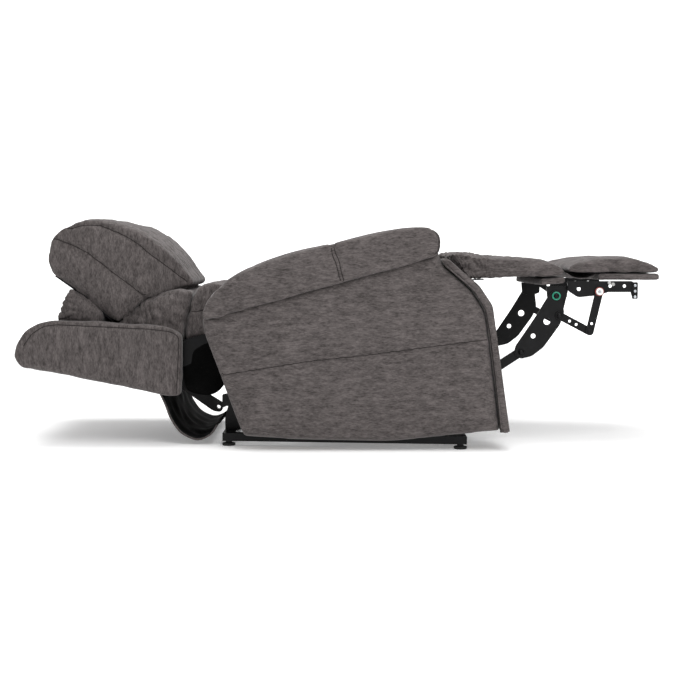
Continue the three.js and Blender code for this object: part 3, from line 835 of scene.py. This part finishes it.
# ---- seat and back ------------------------------------------------------------------------------
class RECLINER_OT_seat(bpy.types.Operator):
    """Makes the seat cushion"""
    bl_idname = "recliner.seat"
    bl_label = "Seat cushion"

    def execute(self, context):
        corners = [(-64, 338, 12), (-64, 412, 40), (-117, 468, 30), (-150, 476, 40),
                   (-300, 448, 90), (-578, 414, 30), (-578, 338, 12)]
        top = [(-64, 400), (-110, 466), (-150, 480), (-300, 450), (-575, 412)]
        lines = [smooth_line([CHAIR(u, w - 26, y) for u, w in top]) for y in (-276, 276)]
        lines += [smooth_line([CHAIR(-340, 450, -270), CHAIR(-340, 455, 270)])]
        pieces = pad("cover_seat_cushion", CHAIR, corners, -272, 272, [(20, anywhere)], 9, lines,
                     side_fabric(), pressure=5, limit=16,
                     hold=lambda points: points[:, 2] < 0.335,
                     folds=lambda points: 0.0018 * wander(points, 0.12, 21))
        upholster(pieces, "chair", ["seat_cushion"])
        return {"FINISHED"}


class RECLINER_OT_back(bpy.types.Operator):
    """Makes the back's lumbar roll, padding, wings and outside cover"""
    bl_idname = "recliner.back"
    bl_label = "Back"

    def execute(self, context):
        lumbar = [(-32, 132, 6), (108, 132, 20), (141, 100, 20), (148, 52, 20), (128, 12, 15),
                  (106, 2, 8), (60, 8, 8), (-12, 31, 8)]
        lines = [smooth_line([BACK(n, a, y) for n, a in ((52, 128), (62, 90), (80, 40),
                                                         (96, 10))]) for y in (-274, 274)]
        pieces = pad("cover_lumbar_cushion", BACK, lumbar, -270, 270, [(16, anywhere)], 7, lines,
                     loose_fabric(), pressure=5, limit=8,
                     folds=lambda points: 0.0016 * wander(points, 0.07, 31)
                     + 0.0008 * wander(points, 0.03, 32))
        upholster(pieces, "backrest", ["lumbar_cushion"])

        wing = [(-162, 582, 8), (-125, 582, 20), (-85, 567, 20), (-56, 533, 20), (-40, 484, 40),
                (-22, 361, 60), (-1, 224, 60), (1, 168, 20), (-12, 134, 8), (-94, 121, 40),
                (-179, 110, 5), (-188, 132, 10), (-185, 330, 60), (-186, 470, 20),
                (-188, 558, 10)]
        edge = smooth_line([BACK(n, a, -332) for n, a in (
            (-178, 118), (-94, 130), (-34, 138), (-18, 143), (-9, 160), (-13, 224), (-33, 361),
            (-50, 480), (-62, 516), (-90, 545), (-126, 560))])

        def folds(points):
            return 0.0014 * wander(points, 0.18, 41) + 0.0005 * wander(points, 0.05, 42)

        pieces = pad("cover_back_wing_right", BACK, wing, -333, -283, [(10, anywhere)], 6, [edge],
                     back_fabric(), pressure=4, limit=6, folds=folds,
                     hold=lambda points: points[:, 1] > -0.29, depth=2.5)
        both_sides(pieces, "backrest", ["back_wing_right"])

        core = [(-92, 136, 10), (60, 138, 8), (118, 134, 8), (96, 196, 20), (66, 254, 20),
                (-16, 322, 8), (-46, 336, 8), (-60, 498, 20), (-92, 534, 10)]
        middle = BACK(10, 262)

        def drawn_up(points):
            side = fade(np.abs(points[:, 1]), 0.235, 0.268)
            across = np.exp(-((points[:, 0] - middle.x) / 0.075) ** 2)
            phase = points[:, 0] / 0.023 + 0.4 * wander(points, 0.08, 73)
            folded = 0.009 * across * gathers(phase) + 0.003 * wander(points, 0.035, 74)
            return side * folded + 0.0015 * wander(points, 0.08, 75)

        pieces = pad("cover_back_pad", BACK, core, -274, 274, [(8, anywhere)], 7, [],
                     loose_fabric(), pressure=4, limit=5, folds=drawn_up)
        upholster(pieces, "backrest", ["back_pad"])
        outside = [(-185, 174, 3), (-174, 174, 3), (-174, 542, 3), (-185, 542, 3)]
        seams = [smooth_line([BACK(-187, a, y) for a in (176, 540)]) for y in (-150, 150)]
        pieces = pad("cover_back_outside", BACK, outside, -279, 279, [(3, anywhere)], 7, seams,
                     back_fabric(), pressure=0, folds=lambda points: 0.001 * wander(
                         points, 0.2, 45), depth=1.6)
        upholster(pieces, "backrest", ["back_cover"])

        box = [(-140, -4, 20), (-170, 30, 20), (-176, 98, 14), (-100, 122, 10), (-36, 121, 6),
               (-24, 76, 10), (-14, 20, 8), (-40, 2, 14)]
        pieces = pad("cover_back_lining", BACK, box, -281, 281, [(6, anywhere)], 8, [],
                     dust_lining(), pressure=2, limit=3,
                     folds=lambda points: 0.002 * wander(points, 0.09, 51))
        upholster(pieces, "backrest", ["back_lining"])
        return {"FINISHED"}


class RECLINER_OT_back_flap(bpy.types.Operator):
    """Hangs the lining flap that closes the gap between the back and the seat"""
    bl_idname = "recliner.back_flap"
    bl_label = "Back flap"

    def execute(self, context):
        line = smooth_line([BACK(n, a) for n, a in (
            (-192, 168), (-216, 150), (-255, 128), (-291, 92), (-303, 40), (-275, 2),
            (-248, -4))], step=0.008, rounds=6)
        width = 0.552
        flap = hung_sheet("back_flap_cloth", line, width, 60,
                          lambda points: 0.0022 * wander(points, 0.11, 61), dust_lining())
        hem = [[p + Vector((0, side * width / 2, 0)) for p in line] for side in (-1, 1)]
        binding = tube("back_flap_binding", hem, 3.2, back_fabric())
        for piece in (flap, binding):
            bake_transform(piece)
        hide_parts("back_flap")
        return {"FINISHED"}


class RECLINER_OT_headrest(bpy.types.Operator):
    """Makes the big head pillow and the gathered gusset under its tip"""
    bl_idname = "recliner.headrest"
    bl_label = "Head pillow"

    def execute(self, context):
        corners = [(110, 551, 6), (131, 557, 8), (178, 551, 14), (219, 520, 20), (247, 466, 40),
                   (254, 410, 40), (250, 324, 40), (220, 250, 40), (174, 188, 30),
                   (136, 143, 6), (126, 143, 6), (66, 256, 20), (-16, 323, 8), (26, 396, 40),
                   (64, 466, 40), (88, 522, 20)]
        outer = BACK(150, 545), BACK(75, 258)
        slope = (outer[1].z - outer[0].z) / (outer[1].x - outer[0].x)

        def in_front(point):
            return point.z > outer[0].z + (point.x - outer[0].x) * slope

        middle = [(183, 548), (178, 513), (174, 492), (160, 443), (127, 378), (100, 322),
                  (70, 263)]
        front = [(216, 511), (236, 462), (243, 420), (228, 350), (211, 306), (185, 262),
                 (166, 225), (146, 190), (130, 160)]
        lines = [smooth_line([BACK(n, a, side * 277) for n, a in run])
                 for run in (middle, front) for side in (-1, 1)]
        puckers = [BACK(67, 259, side * 277) for side in (-1, 1)]
        lower = BACK(10, 275)

        def folds(points):
            side = fade(np.abs(points[:, 1]), 0.22, 0.265)
            total = 0.0016 * wander(points, 0.085, 71) + 0.0006 * wander(points, 0.035, 72)
            for at in puckers:
                dx, dz = points[:, 0] - at.x, points[:, 2] - at.z
                far = np.hypot(dx, dz)
                star = np.abs(np.sin(3.5 * np.arctan2(dz, dx) + 0.6)) ** 0.6 - 1
                near = np.exp(-(far / 0.04) ** 2) * (np.abs(points[:, 1] - at.y) < 0.06)
                total += 0.004 * star * near - 0.006 * np.exp(-(far / 0.008) ** 2) * (near > 0)
            down = 1 - fade(points[:, 2], lower.z - 0.02, lower.z + 0.075)
            across = np.exp(-((points[:, 0] - lower.x) / 0.085) ** 2)
            phase = points[:, 0] / 0.021 + 0.35 * wander(points, 0.06, 73)
            total += 0.008 * side * down * across * gathers(phase)
            return total

        tip = BACK(135, 139)
        tail = BACK(135, 290)

        def held(points):
            return points[:, 0] > tip.x - 0.03

        pieces = pad("cover_head_pillow", BACK, corners, -277, 277,
                     [(34, in_front), (7, lambda p: not in_front(p))], 7, lines,
                     loose_fabric(), pressure=6, limit=10, hold=held, spare=0.02, folds=folds,
                     depth=4.0)
        for piece in pieces:
            points = points_of(piece)
            points[:, 1] *= 1 - 0.3 * fade(points[:, 0], tail.x, tip.x)
            put(piece, points)
        upholster(pieces, "backrest", ["head_pillow"], to="headrest",
                  start=BACK(60, 215), end=BACK(60, 375))

        gusset = [(54, 470, 2), (48, 478, 2), (-44, 497, 2), (-42, 370, 2), (-4, 366, 2),
                  (14, 396, 2)]

        def ruffles(points):
            edge = BACK(0, 490)
            near = np.exp(-((points[:, 0] - edge.x) / 0.05) ** 2)
            phase = points[:, 2] / 0.018 + 0.3 * wander(points, 0.05, 81)
            return 0.006 * near * gathers(phase) + 0.0015 * wander(points, 0.05, 82)

        pieces = pad("cover_headrest_gusset", BACK, gusset, -268, 268, [(4, anywhere)], 5, [],
                     loose_fabric(), pressure=2, limit=4, folds=ruffles)
        upholster(pieces, "backrest", ["headrest_gusset"], to="headrest",
                  start=BACK(-30, 430), end=BACK(40, 430))
        return {"FINISHED"}


# ---- footrest -----------------------------------------------------------------------------------
class RECLINER_OT_footrest(bpy.types.Operator):
    """Makes the calf pad with its gathers and the foot pad"""
    bl_idname = "recliner.footrest"
    bl_label = "Footrest pads"

    def execute(self, context):
        calf = [(308, 534, 8), (343, 540, 20), (399, 530, 40), (455, 526, 40), (539, 522, 40),
                (594, 513, 20), (630, 500, 10), (640, 488, 6), (630, 477, 4), (560, 476, 20),
                (455, 472, 40), (371, 468, 10)]

        def upper(point):
            return point.z > ROOM(0, 492).z

        seam = [smooth_line([ROOM(x, z, side * 277) for x, z in (
            (470, 474), (560, 480), (634, 488))]) for side in (-1, 1)]
        wrinkled = ROOM(395, 0).x, ROOM(470, 0).x

        def gathered(points):
            share = 1 - fade(points[:, 0], *wrinkled)
            phase = (points[:, 0] + 0.25 * points[:, 2]) / 0.0125
            phase = phase + 0.6 * wander(points, 0.05, 91)
            broad = 0.0012 * wander(points, 0.06, 92)
            return share * (0.005 * gathers(phase) + 0.002 * wander(points, 0.03, 93)) + broad

        pieces = pad("cover_chaise_pad", ROOM, calf, -277, 277,
                     [(16, upper), (4, lambda p: not upper(p))], 6, seam,
                     side_fabric(), pressure=4, limit=6, folds=gathered, thread=False,
                     hold=lambda points: points[:, 2] < ROOM(0, 480).z)
        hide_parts("chaise_pad")
        for piece in pieces:
            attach(piece, "footrest")
            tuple(ROOM(641, 488))
            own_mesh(piece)

        foot = [(33, 69, 6), (35, 82, 8), (54, 93, 12), (93, 99, 40), (149, 105, 40),
                (220, 105, 20), (261, 96, 15), (283, 83, 8), (292, 73, 6), (284, 66, 3),
                (60, 66, 6)]

        def crown(point):
            return point.z > OTTOMAN(0, 80).z

        rim = [smooth_line([OTTOMAN(x, z, side * 278) for x, z in (
            (34, 72), (60, 75), (149, 78), (240, 77), (288, 74))]) for side in (-1, 1)]
        pieces = pad("cover_footrest_pad", OTTOMAN, foot, -277, 277,
                     [(14, crown), (4, lambda p: not crown(p))], 6, rim,
                     side_fabric(), pressure=4, limit=6, thread=False,
                     hold=lambda points: points[:, 2] < OTTOMAN(0, 69).z,
                     folds=lambda points: 0.0016 * wander(points, 0.07, 95))
        upholster(pieces, "footrest", ["footrest_pad"])
        return {"FINISHED"}


class RECLINER_OT_boards(bpy.types.Operator):
    """Wraps the boards under the footrest in the cover's fabric"""
    bl_idname = "recliner.boards"
    bl_label = "Wrapped boards"

    def execute(self, context):
        for name, node, body, corners, near in (
                ("wrapped_foot_board", "footrest_board", "footrest",
                 [(120, 45, 3), (289, 45, 3), (289, 62.5, 3), (120, 62.5, 3)], 274),
                ("wrapped_calf_board", "ottoman_board", "ottoman",
                 [(-43, 29, 3), (25, 36, 3), (25, 54, 3), (-43, 48, 3)], 269)):
            board = block(name, OTTOMAN, corners, -near, near, [(3, anywhere)])
            remesh(board, 4)
            push(board, lambda points: 0.0006 * wander(points, 0.05, 97))
            dress(board, side_fabric())
            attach(board, body)
            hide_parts(node)
        return {"FINISHED"}


# ---- metal, plastic and timber ------------------------------------------------------------------
class RECLINER_OT_finishes(bpy.types.Operator):
    """Gives the steel, plastic, rubber and timber parts their finishes"""
    bl_idname = "recliner.finishes"
    bl_label = "Hard finishes"

    def execute(self, context):
        finishes = {
            "upholstery": side_fabric, "lining": dust_lining, "black_steel": powder_coated_steel,
            "zinc_rod": zinc_plated_steel, "timber": plywood, "board": side_fabric,
            "housing": lambda: moulded("Moulded black ABS", "#131416", "#1c1d20"),
            "foot_rubber": lambda: moulded("Moulded black rubber", "#0e0e0e", "#181818", 0.8)}
        for part in frame["record"]["subparts"]:
            finish = finishes[part["material_slot"]]()
            for holder in frame["nodes"][part["node"]].material_slots:
                holder.material = finish
        return {"FINISHED"}


# ---- small parts of the footrest ----------------------------------------------------------------
def turned(bm, centre, profile, outwards):
    """Adds a turned part about the Y axis: profile is (radius, height) in mm from the centre."""
    start = len(bm.verts)
    points = [bm.verts.new(centre + Vector((radius * MM, outwards * height * MM, 0)))
              for radius, height in profile]
    edges = [bm.edges.new(pair) for pair in zip(points, points[1:])]
    bmesh.ops.spin(bm, geom=points + edges, cent=centre, axis=(0, 1, 0), angle=2 * math.pi,
                   steps=20, use_merge=True)
    bm.verts.ensure_lookup_table()
    bmesh.ops.remove_doubles(bm, verts=bm.verts[start:], dist=1e-6)


RIVET = ((0, -1), (7, -1), (7.5, 0.2), (7, 1.6), (5, 2.8), (2.6, 3.3), (0, 3.4))
ROLLER = ((0, -1), (9, -1), (10, 0), (10, 5), (9, 6), (5.5, 6), (5, 5), (0, 5))
BOLT = ((0, 4), (4, 4), (4, 6.4), (3, 7.2), (0, 7.4))
COLLAR = ((8, -1), (11.5, -1), (12, 0), (12, 3.4), (11, 4), (8.6, 4), (8, 3), (8, -1))
WASHER = ((10, 0), (12.5, 0), (12.5, 1.6), (10, 1.6), (10, 0))
SCREW = ((0, 0), (3, 0), (3, 6), (5, 7), (5, 9), (3.5, 10), (0, 10))


def turned_parts(name, body, profile, spots, material):
    """The same turned part at (place, height) on both sides of the chair."""
    bm = bmesh.new()
    for (x, z), near, place in spots:
        for side in (-1, 1):
            turned(bm, place(x, z, side * near), profile, side)
    bmesh.ops.recalc_face_normals(bm, faces=bm.faces)
    piece = dress(placed(name, bm), material)
    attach(piece, body)


class RECLINER_OT_fasteners(bpy.types.Operator):
    """Adds the rivets, rollers, bushings and end brackets of the footrest's linkage"""
    bl_idname = "recliner.fasteners"
    bl_label = "Linkage fasteners"

    def execute(self, context):
        steel, zinc = powder_coated_steel(), zinc_plated_steel()
        nylon = moulded("Turned white nylon", "#d9dad8", "#eeeeec", 0.4)
        green = moulded("Moulded green acetal", "#12735a", "#1f8f72", 0.4)
        red = moulded("Red fibre washer", "#7c3a33", "#91483f", 0.7)
        turned_parts("rivets_knee", "foot_blade", RIVET,
                     [((85, 198), 275, CHAIR), ((205, 285), 282, CHAIR)], steel)
        turned_parts("rivets_ottoman", "ottoman", RIVET,
                     [((0, 0), 277, OTTOMAN)], steel)
        turned_parts("rivets_apex", "v_upper", RIVET,
                     [((282, 229.5), 288, CHAIR)], steel)
        turned_parts("bushings_ottoman", "foot_blade", COLLAR,
                     [((0, 0), 273, OTTOMAN)], green)
        turned_parts("rollers_slide", "footrest", ROLLER,
                     [((323, 337), 289, CHAIR)], nylon)
        turned_parts("washers_slide", "footrest", WASHER,
                     [((323, 337), 289, CHAIR)], red)
        turned_parts("bolts_slide", "footrest", BOLT,
                     [((323, 337), 289, CHAIR)], zinc)
        turned_parts("screws_bracket", "footrest", BOLT,
                     [((219, z), 280, OTTOMAN) for z in (-2, 14, 30)], zinc)
        for name, side in SIDES:
            corners = [(211, -8, 3), (227, -8, 3), (227, 39, 3), (211, 39, 3)]
            plate = block("slide_bracket_" + name, OTTOMAN, corners,
                          *sorted((side * 281.2, side * 284)), [(0.6, anywhere)])
            dress(plate, steel)
            plate.data.shade_flat()
            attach(plate, "footrest")
        return {"FINISHED"}


class RECLINER_OT_sling(bpy.types.Operator):
    """Hangs the cloth sling under the foot pad and adds the clips beside it"""
    bl_idname = "recliner.sling"
    bl_label = "Footrest sling and clips"

    def execute(self, context):
        line = smooth_line([ROOM(x, z) for x, z in (
            (643, 484), (652, 477), (672, 470), (697, 468), (716, 473), (729, 484))],
            step=0.006, rounds=4)
        width = 0.54
        sling = hung_sheet("footrest_sling", line, width, 50,
                           lambda points: 0.0012 * wander(points, 0.06, 99), side_fabric())
        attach(sling, "footrest")

        clip = moulded("Moulded grey clip", "#8d8d8b", "#a3a3a1", 0.5)
        turned_parts("clips_sling", "footrest", SCREW,
                     [((146, 37), 281, OTTOMAN), ((156, 33), 283, OTTOMAN)], clip)
        black = moulded("Moulded black ABS", "#131416", "#1c1d20")
        for name, side in SIDES:
            strip = block("chaise_clip_" + name, ROOM,
                          [(366, 463, 2), (410, 465, 2), (410, 469, 2), (366, 467, 2)],
                          *sorted((side * 262, side * 276)), [(1, anywhere)])
            dress(strip, black)
            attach(strip, "footrest")
            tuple(ROOM(641, 488))
            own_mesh(strip)
        return {"FINISHED"}


OPERATORS = (RECLINER_OT_stage, RECLINER_OT_finishes, RECLINER_OT_arm_sides,
             RECLINER_OT_arm_fronts, RECLINER_OT_arm_pads, RECLINER_OT_seat, RECLINER_OT_back,
             RECLINER_OT_back_flap, RECLINER_OT_headrest, RECLINER_OT_footrest,
             RECLINER_OT_boards, RECLINER_OT_fasteners, RECLINER_OT_sling)


class RECLINER_PT_panel(bpy.types.Panel):
    """Shows the recliner's settings and the buttons that make its pieces"""
    bl_label = "Lift Recliner"
    bl_idname = "RECLINER_PT_panel"
    bl_space_type = "VIEW_3D"
    bl_region_type = "UI"
    bl_category = "Recliner"

    def draw(self, context):
        for group in (context.scene.recliner_looks, context.scene.recliner_sizes):
            for name in group.__annotations__:
                self.layout.prop(group, name)
        for operator in OPERATORS:
            self.layout.operator(operator.bl_idname)


CLASSES = (ReclinerLooks, ReclinerSizes, *OPERATORS, RECLINER_PT_panel)


def register():
    for kind in CLASSES:
        bpy.utils.register_class(kind)
    bpy.types.Scene.recliner_looks = bpy.props.PointerProperty(type=ReclinerLooks)
    bpy.types.Scene.recliner_sizes = bpy.props.PointerProperty(type=ReclinerSizes)


def unregister():
    del bpy.types.Scene.recliner_sizes
    del bpy.types.Scene.recliner_looks
    for kind in reversed(CLASSES):
        bpy.utils.unregister_class(kind)


def main():
    register()
    for operator in OPERATORS:
        group, name = operator.bl_idname.split(".")
        getattr(getattr(bpy.ops, group), name)()


if __name__ == "__main__":
    main()
